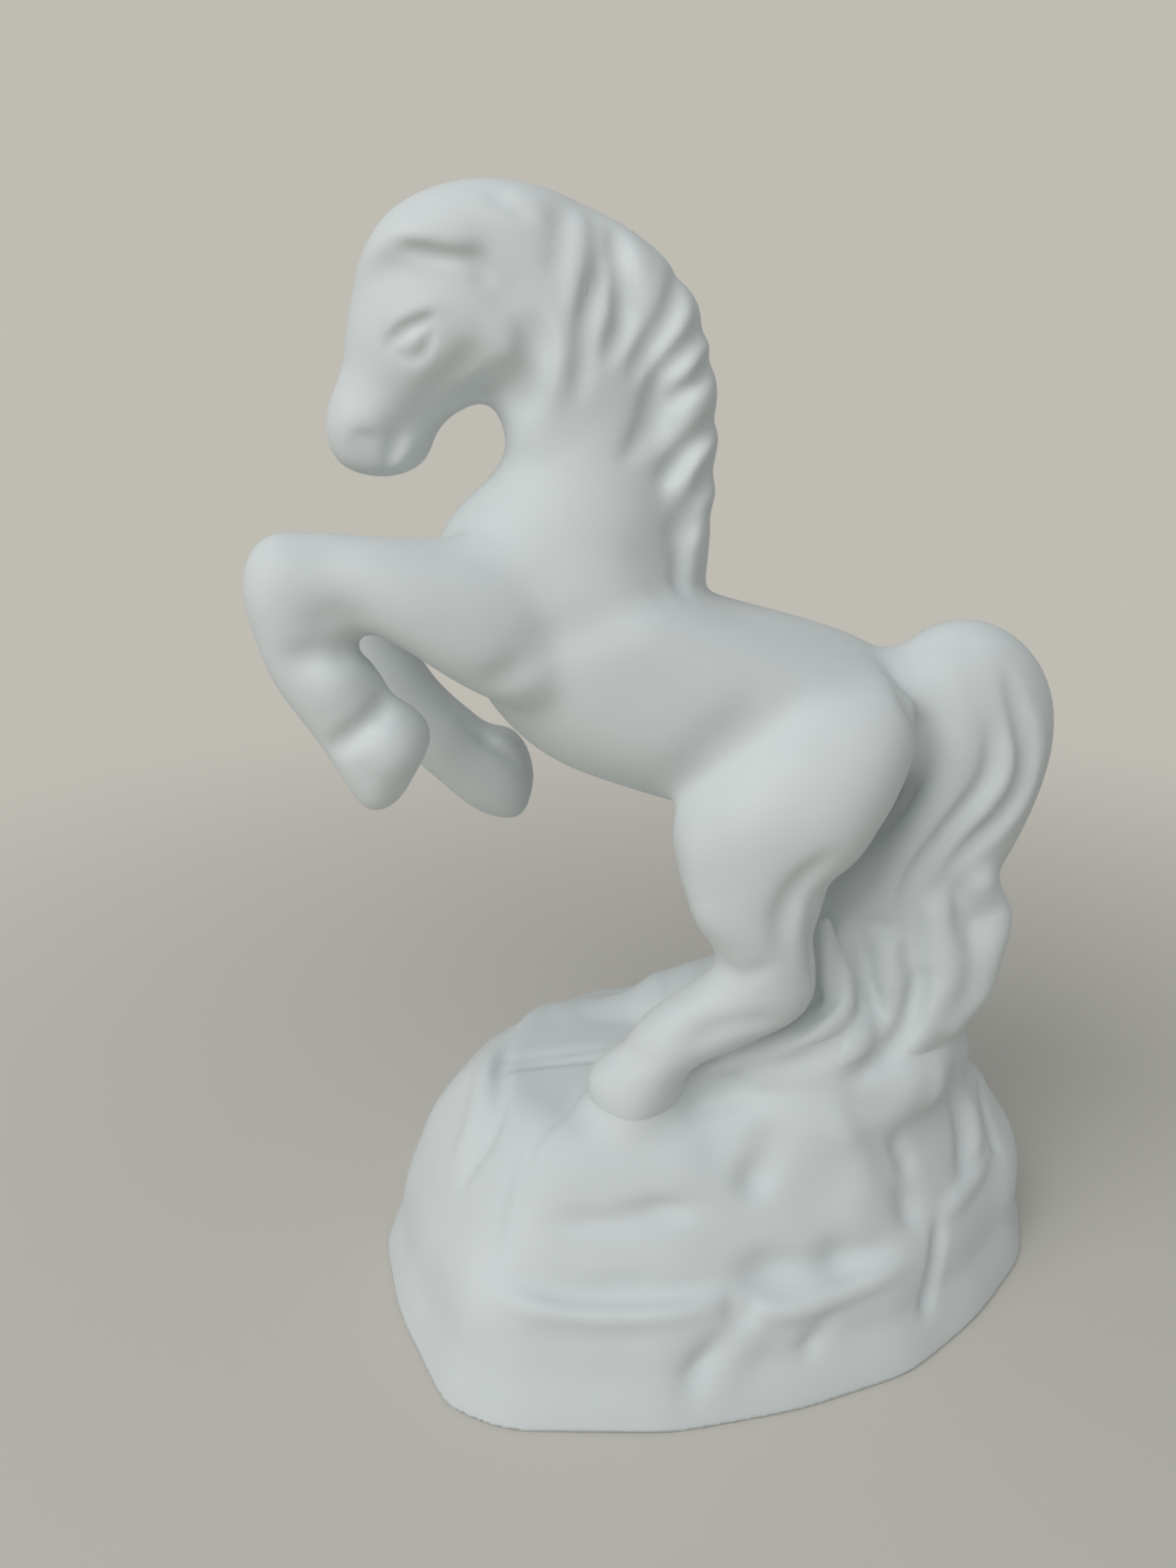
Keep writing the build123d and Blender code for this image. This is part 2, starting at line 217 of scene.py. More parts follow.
def node_mesh(name):
    """Places in millimetres and triangles of a CAD node, with its doubled corners joined."""
    mesh = frame["nodes"][name].data
    mesh.calc_loop_triangles()
    places = np.zeros(len(mesh.vertices) * 3)
    faces = np.zeros(len(mesh.loop_triangles) * 3, int)
    mesh.vertices.foreach_get("co", places)
    mesh.loop_triangles.foreach_get("vertices", faces)
    places = places.reshape(-1, 3) / metre_per_mm
    _, first, inverse = np.unique(places.round(3), axis=0, return_index=True, return_inverse=True)
    faces = inverse.ravel()[faces].reshape(-1, 3)
    real = (faces != np.roll(faces, -1, axis=1)).all(1)
    return places[first], faces[real]


def groups_of(count, pairs):
    """Labels of the groups that pairs of items join, the smallest item of each group."""
    label = np.arange(count)
    while True:
        low = np.minimum(label[pairs[:, 0]], label[pairs[:, 1]])
        fresh = label.copy()
        np.minimum.at(fresh, pairs[:, 0], low)
        np.minimum.at(fresh, pairs[:, 1], low)
        np.minimum.at(fresh, label[pairs[:, 0]], low)
        np.minimum.at(fresh, label[pairs[:, 1]], low)
        fresh = fresh[fresh]
        if (fresh == label).all():
            return label
        label = fresh


def outer_skin(places, faces):
    """The outermost closed surface of a mesh, without the hollow inside it."""
    pairs = np.concatenate([faces[:, [0, 1]], faces[:, [1, 2]]])
    label = groups_of(len(places), pairs)
    best = max(np.unique(label), key=lambda g: np.ptp(places[label == g], axis=0).sum())
    keep = label == best
    order = np.cumsum(keep) - 1
    return places[keep], order[faces[keep[faces[:, 0]]]]


def tree_of(places, faces):
    return BVHTree.FromPolygons(places.tolist(), faces.tolist())


# Lines and spots: forms pressed into the skin or raised from it
def through(points, spacing=0.6):
    """A smooth line through a few points, as closely spaced places."""
    points = np.array(points, float)
    if len(points) == 2:
        points = np.array([points[0], (points[0] + points[1]) / 2, points[1]])
    ends = np.concatenate([[2 * points[0] - points[1]], points, [2 * points[-1] - points[-2]]])
    line = []
    for a, b, c, d in zip(ends, ends[1:], ends[2:], ends[3:]):
        count = max(2, int(np.linalg.norm(c - b) / spacing))
        t = (np.arange(count) / count)[:, None]
        square = 2 * a - 5 * b + 4 * c - d
        cube = 3 * b - a - 3 * c + d
        line.append(0.5 * (2 * b + (c - a) * t + square * t**2 + cube * t**3))
    line.append(points[-1:])
    return np.concatenate(line)


def seen_line(skins, pixels, spacing=3.0, turn=0.0):
    """Places on the nearest skin under a line of pixels.

    They are seen by the photograph's camera, or by the same camera turned about the upright axis."""
    turned = Matrix.Rotation(turn, 3, "Z")
    origin = turned @ Vector(camera_place)
    places = []
    for pixel in through(pixels, spacing):
        hits = [skin.ray_cast(origin, turned @ Vector(camera_ray(pixel))) for skin in skins]
        hits = [hit for hit in hits if hit[0] is not None]
        if hits:
            places.append(min(hits, key=lambda hit: hit[3])[0][:])
    if not places:
        print("no skin under the line", pixels)
    return np.array(places).reshape(-1, 3)


def sunk(line, depth):
    """The line moved away from the camera, below the skin on which it was seen."""
    sight = line - camera_place
    return line + sight / np.linalg.norm(sight, axis=1)[:, None] * depth


def over_crest(skin, places):
    """The line carried on over the middle of the horse to its far side."""
    start = places[0]
    span = np.linspace(-start[1], start[1], 9)[:-1]
    bridge = [skin.find_nearest(Vector((start[0], y, start[2])))[0][:] for y in span]
    return np.concatenate([places[::-1] * [1, -1, 1], bridge[1:], places])


def along(field, places, width, taper):
    """Slices round a line, and how strongly it acts there: fading away from it and towards its ends."""
    count = len(places)
    reach = fade_reach * width
    slices, _ = field.window(places.min(0) - reach, places.max(0) + reach)
    amount = np.zeros(field.values[slices].shape, np.float32)
    for index, place in enumerate(places):
        share = min(index, count - 1 - index) / max(1, taper * count)
        strength = sin(min(1.0, share + 0.12) * pi / 2) ** 1.5
        local, (lx, ly, lz) = field.window(place - reach, place + reach)
        inner = tuple(slice(a.start - b.start, a.stop - b.start) for a, b in zip(local, slices))
        spread = (lx - place[0]) ** 2 + (ly - place[1]) ** 2 + (lz - place[2]) ** 2
        amount[inner] = np.maximum(amount[inner], strength * np.exp(-spread / width**2))
    return slices, amount


def press(field, places, depth, width, taper=0.35):
    """Presses a soft groove along a line, or raises a ridge where the depth is below zero."""
    if len(places):
        slices, amount = along(field, places, width, taper)
        field.values[slices] += depth * amount


def melt(field, soft, places, width):
    """Smooths creases and steps along a line, towards a softer copy of the field."""
    if len(places):
        slices, amount = along(field, places, width, taper=0.2)
        field.values[slices] += (soft[slices] - field.values[slices]) * amount


def spot(field, place, depth, radii):
    """Presses a soft dent of three radii, or raises a swelling where the depth is below zero."""
    radii = np.broadcast_to(np.array(radii, float), 3)
    place = np.array(place)
    slices, axes = field.window(place - fade_reach * radii, place + fade_reach * radii)
    spread = sum(((axis - middle) / radius) ** 2 for axis, middle, radius in zip(axes, place, radii))
    field.values[slices] += depth * np.exp(-spread).astype(np.float32)


def tube(field, places, radii, blend):
    """Joins a round lock that follows a line, with its radii spread evenly along it."""
    places = np.array(places, float)
    radii = np.interp(np.linspace(0, 1, len(places)), np.linspace(0, 1, len(radii)), radii)
    reach = radii.max() + blend + 1
    slices, _ = field.window(places.min(0) - reach, places.max(0) + reach)
    other = np.full(field.values[slices].shape, band, np.float32)
    for place, radius in zip(places, radii):
        local, (lx, ly, lz) = field.window(place - reach, place + reach)
        inner = tuple(slice(a.start - b.start, a.stop - b.start) for a, b in zip(local, slices))
        distance = np.sqrt((lx - place[0]) ** 2 + (ly - place[1]) ** 2 + (lz - place[2]) ** 2)
        other[inner] = np.minimum(other[inner], distance - radius)
    field.join(slices, other, blend)


def both_sides(places, plane=0.0):
    """The places, and the same on the other side of an upright plane."""
    return [places, places * [1, -1, 1] + [0, 2 * plane, 0]]


def press_lines(field, skins, lines, plane=0.0):
    """Presses lines of pixels, each with its depth and width, on both sides of an upright plane."""
    for pixels, depth, width in lines:
        for line in both_sides(seen_line(skins, pixels), plane):
            press(field, line, depth, width)


def press_spots(field, skins, dents, plane=0.0):
    """Presses dents under pixels, each with its depth and radii, on both sides of an upright plane."""
    for pixel, depth, radii in dents:
        for places in both_sides(seen_line(skins, [pixel, pixel])[:1], plane):
            for place in places:
                spot(field, place, depth, radii)


# Horse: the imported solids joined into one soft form
low = np.array([v / metre_per_mm for v in cad_box[0]])
high = np.array([v / metre_per_mm for v in cad_box[1]])
margin = 4.0
horse_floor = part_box("left_hind_leg")[0].z / metre_per_mm
horse_back = 46
horse_side = 28
horse_reach = [
    [low[0] - margin, -horse_side, horse_floor - margin],
    [horse_back, horse_side, high[2] + margin],
]
raw = Field(*horse_reach)
hair = Field(*horse_reach)
for name in horse_nodes:
    places, faces = node_mesh(name)
    raw.add_mesh(places, faces)
    if name in hair_nodes:
        hair.add_mesh(places, faces)
    if name == "tail":
        foot = places[places[:, 2] < places[:, 2].min() + 0.5]
# a plug under the tail's foot closes the casting's hollow
foot_middle = (foot.min(0) + foot.max(0)) / 2
foot_radii = np.ptp(foot, axis=0) / 2
plug_line = [foot_middle + [share * foot_radii[0], 0, -0.5] for share in (-0.7, 0, 0.7)]
plug_radius = 0.62 * foot_radii[1]
tube(raw, through(plug_line, spacing=0.8), [plug_radius, plug_radius], blend=1.0)
horse = Field(*horse_reach)
horse.add_mesh(*outer_skin(*raw.mesh()))
# the blur takes a little off every round form, and the offset gives it back
horse_blur = 1.2
horse_offset = 0.3
horse.soften(horse_blur)
horse.values -= horse_offset
horse_skin = tree_of(*horse.mesh())

# Rock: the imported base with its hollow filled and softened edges
run_on_depth = 6
rock_top = 46
rock_reach = [
    [low[0] - margin, low[1] - margin, -run_on_depth - 1],
    [high[0] + margin, high[1] + margin, rock_top],
]
raw_rock = Field(*rock_reach)
places, faces = node_mesh("rock_base")
mound_high = places[:, 2].max()
# the band runs on below the floor while the rock is softened, so that its foot stays crisp
run_on_flare = [1.032, 1.06, 0]
underside = places[:, 2] < 0.01
places[underside] = places[underside] * run_on_flare - [0, 0, run_on_depth]
raw_rock.add_mesh(places, faces)
# plugs close the hollow at the tail's foot and at the vent
tail_plug = [[foot_middle[0] + dx, 0, mound_high - 3.6] for dx in (-7, 0, 7)]
tube(raw_rock, through(tail_plug, spacing=0.8), [3.6, 3.6], blend=0)
vent = np.array([18.0, 0, 0])
vent_radius = 1.75
vent_depth = 7
vent_plug = [vent - [0, 0, 4.5], vent + [0, 0, 1]]
tube(raw_rock, through(vent_plug, spacing=0.5), [2.6, 2.6], blend=0)
rock = Field(*rock_reach)
rock.add_mesh(*outer_skin(*raw_rock.mesh()))
rock_blur = 2.1
rock_offset = 0.45
rock.soften(rock_blur)
rock.values -= rock_offset
rock_skin = tree_of(*rock.mesh())
# the rock swells up to meet the tail's foot, and runs on in front of the right hoof
swell_line = seen_line([rock_skin], [(950, 1070), (940, 1090), (916, 1106), (886, 1118)])
for swell in both_sides(swell_line + [0, 1.6, -1.6]):
    tube(rock, swell, [1.8, 2.6, 2.0, 1.2], blend=3.5)
run_on = [[-8, 13, 30.4], [-13, 13, 28.8], [-18, 12.5, 27]]
tube(rock, through(run_on), [3.2, 2.6, 1.6], blend=3.0)
# a web of clay fills the hollow under the left hock
hock_web = [[-6, -9.5, 32], [0, -9, 35], [6, -8.5, 37], [12, -8, 37.5], [17, -6, 36]]
tube(rock, through(hock_web), [2.6, 3.6, 4.0, 4.2, 3.6], blend=3.5)
rock_skin = tree_of(*rock.mesh())
skins = [horse_skin, rock_skin]

# Tail: its foot spreads over the rock in locks that sweep round behind the hock
tail_locks = [
    (
        [(856, 960), (866, 1000), (872, 1040), (858, 1074), (820, 1092), (778, 1092)],
        (2.0, 2.8, 3.2, 3.2, 2.6, 1.6),
        2.5,
    ),
    (
        [(906, 965), (911, 1005), (906, 1042), (886, 1074), (850, 1096)],
        (1.6, 2.3, 2.4, 2.2, 1.4),
        2.0,
    ),
    (
        [(958, 930), (962, 985), (950, 1025), (924, 1062), (888, 1090)],
        (2.2, 3.2, 3.0, 2.4, 1.4),
        2.5,
    ),
    (
        [(998, 900), (1008, 935), (1000, 972), (990, 1008), (968, 1038)],
        (2.0, 3.0, 2.8, 2.6, 2.0),
        2.5,
    ),
]
sunk_share = 0.3
for pixels, radii, blend in tail_locks:
    line = seen_line(skins, pixels, spacing=4.0)
    for lock in both_sides(sunk(line, sunk_share * np.mean(radii))):
        tube(horse, lock, radii, blend)
# the lock that comes round the left hock and runs forward under the cannon
hock_lock = [
    [11.2, -7.4, 54], [12, -8, 50], [13.2, -8.8, 46],
    [13.2, -10.2, 43.3], [10.8, -11.6, 41.4], [7, -12.2, 40],
    [3, -12.2, 38.8], [-1, -12.2, 37.4], [-4.4, -11.8, 35.6],
]
hock_lock_radii = [1.0, 1.8, 2.1, 2.1, 2.0, 1.8, 1.6, 1.4, 1.0]
tube(horse, through(hock_lock), hock_lock_radii, blend=1.8)
# the ends of the locks run together in a ring round the tail's foot
ring_forward = 1.6
ring_share = 0.9
foot_ring = [
    [
        foot_middle[0] - ring_forward + ring_share * foot_radii[0] * cos(t),
        ring_share * foot_radii[1] * sin(t),
        mound_high - 0.6,
    ]
    for t in np.linspace(0, 2 * pi, 49)
]
tube(horse, foot_ring, [1.9, 1.9], blend=3.0)
# the tail narrows at the back, above the rock
spot(horse, [35.2, 0, 35.6], 2.4, (4.0, 9.0, 4.0))

# Hooves of the hind legs stand on the rock, wider than the pasterns above them
near_hoof = [[-15.2, -12.6, 33.6], [-12.6, -12.4, 34.2], [-10.0, -12.2, 33.4]]
tube(horse, through(near_hoof), [3.8, 4.4, 3.8], blend=2.0)
far_hoof = [[2.0, 13.0, 34.0], [-3.0, 13.0, 32.6], [-6.6, 13.0, 31.6]]
tube(horse, through(far_hoof), [3.0, 4.0, 3.0], blend=2.0)

# Neck: full behind the jaw, where the forelock runs into it
line = seen_line(skins, [(548, 236), (560, 290), (566, 345), (566, 392), (556, 432)])
for form in both_sides(sunk(line, 3.8)):
    tube(horse, form, (1.6, 4.0, 4.8, 4.2, 2.5), blend=4.5)

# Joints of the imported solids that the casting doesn't show are smoothed over
softer_blur = 2.6
softer = Field(*horse_reach)
softer.values = horse.values.copy()
softer.soften(softer_blur)
melted_lines = [
    ([(436, 548), (480, 560), (530, 570), (590, 584), (640, 596)], 4.5),
    ([(512, 250), (524, 290), (538, 325)], 4.5),
    ([(545, 240), (556, 280), (566, 330)], 4.5),
    ([(580, 235), (584, 270), (582, 310)], 4.0),
    ([(732, 906), (765, 912), (800, 910), (835, 902)], 5.5),
    ([(740, 920), (775, 926), (805, 922)], 4.5),
    ([(328, 562), (334, 585), (342, 612), (348, 635)], 4.5),
    ([(900, 655), (915, 670), (925, 690)], 2.5),
]
for pixels, width in melted_lines:
    for line in both_sides(seen_line(skins, pixels)):
        melt(horse, softer.values, line, width)
horse_skin = tree_of(*horse.mesh())
skins = [horse_skin, rock_skin]

# Mane: grooves and ridges between its locks, from the crest down the neck. Here and below, each form is a
# line or a place in pixels of the photograph, with its depth and its width or radii.
mane_lines = [
    ([(572, 214), (569, 245), (566, 280)], 0.25, 1.4),
    ([(614, 256), (611, 284), (603, 302), (598, 330), (595, 365), (588, 410)], 0.75, 1.2),
    ([(627, 232), (632, 265), (635, 300), (634, 328), (628, 350), (617, 370)], 0.95, 1.15),
    ([(692, 282), (688, 305), (680, 326), (665, 350), (652, 372), (646, 386)], 1.05, 1.2),
    (
        [(714, 338), (698, 356), (685, 369), (672, 383), (665, 403), (659, 432), (648, 455), (636, 470)],
        0.95,
        1.25,
    ),
    ([(726, 364), (715, 385), (704, 396), (690, 406), (678, 412)], 0.85, 1.05),
    ([(729, 430), (715, 446), (700, 461), (688, 475), (673, 489)], 1.05, 1.2),
    ([(724, 482), (714, 510), (701, 532), (686, 552)], 1.0, 1.5),
    ([(708, 530), (696, 560), (692, 585), (697, 604)], 0.7, 1.3),
    ([(592, 214), (593, 250), (588, 285), (583, 325)], -0.4, 1.2),
    ([(621, 262), (622, 300), (614, 340)], -0.3, 1.4),
    ([(648, 250), (658, 300), (648, 345)], -0.35, 2.2),
    ([(704, 312), (692, 342), (672, 372), (656, 400)], -0.45, 1.4),
    ([(722, 352), (706, 374), (690, 390)], -0.35, 1.2),
    ([(729, 395), (708, 416), (690, 440), (668, 474)], -0.55, 1.6),
    ([(727, 448), (714, 468), (700, 488), (682, 512)], -0.45, 1.4),
    ([(721, 505), (709, 535), (702, 565), (706, 594)], -0.5, 1.3),
]
# those that start on the crest run over it, more weakly, so that it is scalloped
crest_start = -12
crest_share = 0.35
for pixels, depth, width in mane_lines:
    line = seen_line(skins, pixels)
    for side in both_sides(line):
        press(horse, side, depth, width, taper=0.25)
    if line[0, 0] > crest_start:
        crest = over_crest(horse_skin, line[:3])
        press(horse, crest, crest_share * depth, width, taper=0.1)

# Head: the forelock's lower edge and crease, the soft ear, the cheek, the eye, the muzzle
head_lines = [
    ([(404, 253), (425, 255), (450, 260), (472, 263), (488, 268), (499, 280)], 0.6, 0.8),
    ([(484, 262), (492, 270), (497, 285)], 0.6, 1.5),
    ([(405, 240), (430, 241), (460, 246), (485, 250)], -0.3, 1.3),
    ([(498, 199), (520, 209), (541, 224)], 0.35, 1.1),
    ([(503, 282), (518, 303), (533, 326), (545, 350)], 0.7, 1.9),
    ([(547, 334), (547, 362), (541, 392), (530, 416)], 2.5, 1.8),
    ([(544, 374), (522, 388), (496, 398), (470, 404)], 1.2, 1.8),
    ([(486, 350), (474, 370), (454, 390), (430, 412)], 0.85, 1.7),
    ([(470, 398), (440, 420), (414, 436)], 0.5, 2.2),
    ([(556, 330), (558, 370), (550, 410)], -0.6, 1.8),
    ([(393, 354), (402, 346), (413, 337), (427, 330), (444, 322)], 1.0, 0.6),
    ([(396, 355), (408, 363), (420, 367), (430, 362), (437, 350), (443, 328)], 0.5, 0.6),
    ([(396, 338), (412, 324), (434, 314), (450, 313)], -0.25, 1.2),
    ([(404, 446), (401, 458), (399, 472)], 0.8, 0.75),
    ([(421, 448), (413, 462), (405, 476)], -0.6, 0.95),
    ([(354, 462), (376, 458), (398, 450), (420, 432)], 0.5, 2.0),
    ([(362, 448), (372, 446), (380, 452)], 0.35, 0.9),
    ([(345, 425), (362, 430), (384, 424)], -0.3, 2.6),
]
press_lines(horse, skins, head_lines)
head_spots = [
    ((416, 350), 0.3, 2.6),
    ((422, 347), -0.25, 0.95),
    ((426, 464), -0.55, 2.4),
    ((516, 362), -0.7, 3.4),
    ((500, 330), -0.5, 5.0),
    ((524, 402), 0.9, 2.6),
    ((530, 208), -0.35, 3.0),
]
press_spots(horse, skins, head_spots)

# Tail: grooves and ridges of its locks
tail_lines = [
    (
        [
            (1027, 686), (1036, 712), (1044, 745), (1047, 775), (1040, 806),
            (1020, 836), (1000, 856), (976, 882), (964, 898),
        ],
        1.5,
        1.25,
    ),
    (
        [
            (1004, 738), (1012, 760), (1010, 786), (1000, 806), (980, 831),
            (955, 861), (934, 890), (924, 916), (927, 940),
        ],
        1.55,
        1.25,
    ),
    ([(938, 670), (956, 660), (980, 657), (1004, 656)], 0.4, 1.4),
    ([(1030, 740), (1028, 785), (1006, 822), (974, 856)], -0.5, 1.5),
    ([(1060, 720), (1062, 770), (1046, 820), (1016, 862)], -0.4, 1.6),
    ([(968, 700), (974, 770), (946, 830), (914, 886), (902, 930)], -1.2, 3.0),
    ([(868, 950), (888, 942), (908, 948)], 0.7, 1.1),
    ([(829, 940), (827, 968), (832, 998), (838, 1014)], 0.6, 0.9),
    ([(853, 958), (857, 984), (852, 1010), (838, 1030), (800, 1060), (752, 1077)], 1.1, 1.1),
    ([(878, 948), (881, 985), (892, 1018), (902, 1038)], 0.9, 0.9),
    ([(938, 990), (934, 1022), (922, 1054), (898, 1082), (862, 1098)], 1.5, 1.3),
    ([(906, 965), (909, 990), (909, 1015)], -0.5, 1.3),
    ([(952, 930), (958, 962), (954, 990)], -0.45, 2.0),
    ([(968, 1000), (952, 1024), (940, 1036)], -0.35, 1.5),
    ([(990, 890), (978, 925), (984, 960)], 0.5, 1.5),
]
press_lines(horse, skins, tail_lines)

# Body: the valley behind the shoulder, the flank, and the thigh against the tail
body_lines = [
    (
        [(470, 684), (492, 692), (512, 690), (534, 675), (565, 656), (605, 638), (650, 618), (688, 600)],
        0.5,
        2.8,
    ),
    ([(498, 700), (515, 692), (535, 680)], 0.5, 1.8),
    ([(560, 690), (620, 668), (690, 650)], -0.25, 5.0),
    ([(782, 712), (752, 745), (722, 768), (704, 794), (698, 820)], 0.65, 3.0),
    ([(650, 560), (672, 585), (668, 610)], 0.35, 3.0),
    ([(908, 668), (920, 700), (934, 732), (941, 762), (936, 792), (918, 828), (892, 852)], 0.7, 1.9),
]
press_lines(horse, skins, body_lines)

# Legs: each line on both faces of its own leg, which stands this far from the middle plane
half_spread = 13.0
left_foreleg_lines = [
    ([(398, 711), (378, 735), (354, 756), (338, 766)], 1.3, 1.3),
    ([(296, 674), (330, 668), (366, 668)], 0.8, 1.8),
    ([(318, 640), (345, 632), (370, 640)], 0.4, 2.4),
    ([(372, 782), (392, 800), (410, 806)], 0.2, 1.5),
]
press_lines(horse, skins, left_foreleg_lines, -half_spread)
left_foreleg_spots = [
    ((345, 703), -1.1, 3.4),
    ((402, 768), -1.1, 3.6),
]
press_spots(horse, skins, left_foreleg_spots, -half_spread)
right_foreleg_lines = [
    ([(488, 750), (508, 764), (530, 778)], 0.8, 1.1),
    ([(452, 716), (470, 728), (486, 748)], 0.3, 1.6),
]
press_lines(horse, skins, right_foreleg_lines, half_spread)
press_spots(horse, skins, [((512, 758), -0.8, 2.4)], half_spread)
left_hind_lines = [
    ([(703, 850), (708, 875), (713, 900), (721, 926), (734, 954)], -1.2, 3.0),
    ([(712, 905), (716, 918), (724, 934)], -0.35, 2.0),
    ([(850, 872), (818, 900), (800, 930), (797, 975)], 0.7, 1.5),
    ([(818, 918), (815, 950), (818, 992)], -0.45, 1.3),
    ([(738, 986), (760, 996), (790, 984)], 0.35, 1.4),
    ([(735, 1012), (706, 1030), (672, 1046)], -0.3, 1.8),
    ([(700, 1068), (742, 1048), (800, 1040)], 0.5, 1.5),
    ([(634, 1074), (648, 1080), (668, 1082)], 0.35, 1.4),
]
press_lines(horse, skins, left_hind_lines, -half_spread)

# Rock: ledges, folds and dents
rock_lines = [
    ([(500, 1316), (530, 1330), (580, 1339), (640, 1342), (700, 1337), (742, 1326)], -0.6, 1.4),
    ([(768, 1338), (815, 1336), (868, 1316), (922, 1294)], -0.7, 1.3),
    ([(520, 1300), (580, 1322), (640, 1324), (700, 1318), (744, 1306)], 0.6, 2.0),
    ([(745, 1312), (780, 1304), (820, 1298), (866, 1288), (920, 1268)], 0.8, 2.2),
    ([(744, 1330), (756, 1342), (770, 1336)], 0.5, 1.6),
    ([(500, 1362), (600, 1366), (700, 1362)], 0.25, 2.4),
    ([(958, 1246), (957, 1276), (950, 1310), (943, 1340)], 0.7, 1.2),
    ([(964, 1238), (984, 1216), (1006, 1184)], -0.7, 1.3),
    ([(560, 1246), (620, 1247), (668, 1240), (704, 1236)], 0.45, 1.6),
    ([(790, 1146), (784, 1172), (770, 1206)], 0.5, 2.6),
    ([(520, 1060), (511, 1092), (509, 1128), (500, 1160), (482, 1188), (468, 1218)], 0.6, 1.2),
    ([(505, 1068), (490, 1110), (480, 1150), (462, 1190)], -0.5, 1.6),
    ([(604, 1104), (578, 1132), (550, 1156), (536, 1182), (527, 1216), (519, 1258), (511, 1292)], 0.5, 1.3),
    ([(620, 1104), (592, 1134), (562, 1162), (546, 1190)], -0.25, 1.8),
    ([(500, 1094), (530, 1087), (570, 1082), (622, 1078)], 0.4, 1.0),
    ([(505, 1083), (555, 1076), (618, 1068)], 0.25, 0.9),
    ([(757, 1352), (728, 1376), (708, 1408), (702, 1446)], 0.28, 2.0),
    ([(776, 1352), (752, 1384), (736, 1420)], -0.2, 2.4),
    ([(850, 1342), (832, 1364), (820, 1386)], 0.2, 1.8),
    ([(966, 1070), (974, 1110), (984, 1160), (980, 1196)], 0.9, 1.6),
    ([(948, 1072), (956, 1100), (952, 1124)], -0.8, 1.8),
    ([(1000, 1108), (1010, 1148), (1016, 1180)], 0.6, 1.4),
    ([(990, 1120), (997, 1155), (996, 1180)], -0.4, 1.3),
    ([(912, 1160), (922, 1182), (930, 1196)], 0.6, 1.5),
    ([(858, 1140), (872, 1176), (888, 1200)], -0.5, 2.2),
    ([(700, 1098), (740, 1096), (790, 1104)], 0.3, 1.6),
]
rock_spots = [
    ((677, 1237), 0.55, (4.0, 3.0, 1.6)),
    ((640, 1314), 0.35, (4.5, 3.0, 1.8)),
    ((790, 1296), 0.75, (4.2, 3.0, 2.8)),
    ((858, 1284), 0.6, 2.6),
    ((768, 1206), 0.5, 2.2),
    ((730, 1172), 0.25, 3.0),
    ((890, 1132), 0.7, (3.6, 3.0, 2.2)),
    ((926, 1228), 0.6, (2.4, 2.4, 3.6)),
    ((875, 1225), -0.5, (3.6, 3.0, 3.6)),
    ((850, 1170), -0.4, 4.0),
    ((610, 1190), -0.3, 6.0),
    ((930, 1098), -0.5, 3.0),
]
# the side that the photograph doesn't show has the same marks further round, half as deep
far_turn = radians(165)
for turn, share in ((0, 1.0), (far_turn, 0.5)):
    for pixels, depth, width in rock_lines:
        press(rock, seen_line([rock_skin], pixels, turn=turn), share * depth, width)
    for pixel, depth, radii in rock_spots:
        for place in seen_line([rock_skin], [pixel, pixel], turn=turn)[:1]:
            spot(rock, place, share * depth, radii)
# behind the tail's foot the rock falls away at once, and bulges lower down
spot(rock, [36.6, 0, 32.6], 3.6, (4.0, 10.0, 3.6))
spot(rock, [43.4, 0, 14.0], -1.3, (4.0, 12.0, 6.5))
# the rock runs up to the hooves and the tail's foot in a soft fillet: whatever lies this deep in
# the horse and this near the rock counts as rock
footing_depth = 0.7
footing_height = 2.5
fillet_blend = 4.5
common_low = np.maximum(rock.low, horse.low)
common_high = np.minimum(rock.low + rock.shape, horse.low + horse.shape)
rock_part = tuple(slice(a, b) for a, b in zip(common_low - rock.low, common_high - rock.low))
horse_part = tuple(slice(a, b) for a, b in zip(common_low - horse.low, common_high - horse.low))
in_horse = horse.values[horse_part] + footing_depth
near_rock = rock.values[rock_part] - footing_height
rock.join(rock_part, np.maximum(in_horse, near_rock), fillet_blend)
# the rock ends at the floor, and the vent is a blind hole in its underside
slices, (x, y, z) = rock.window(rock.low * voxel, (rock.low + rock.shape) * voxel)
past_vent_top = np.maximum(z - vent_depth, 0)
from_vent = np.sqrt((x - vent[0]) ** 2 + (y - vent[1]) ** 2 + past_vent_top**2)
floored = np.maximum(rock.values[slices], -z)
rock.values[slices] = np.maximum(floored, vent_radius - from_vent)


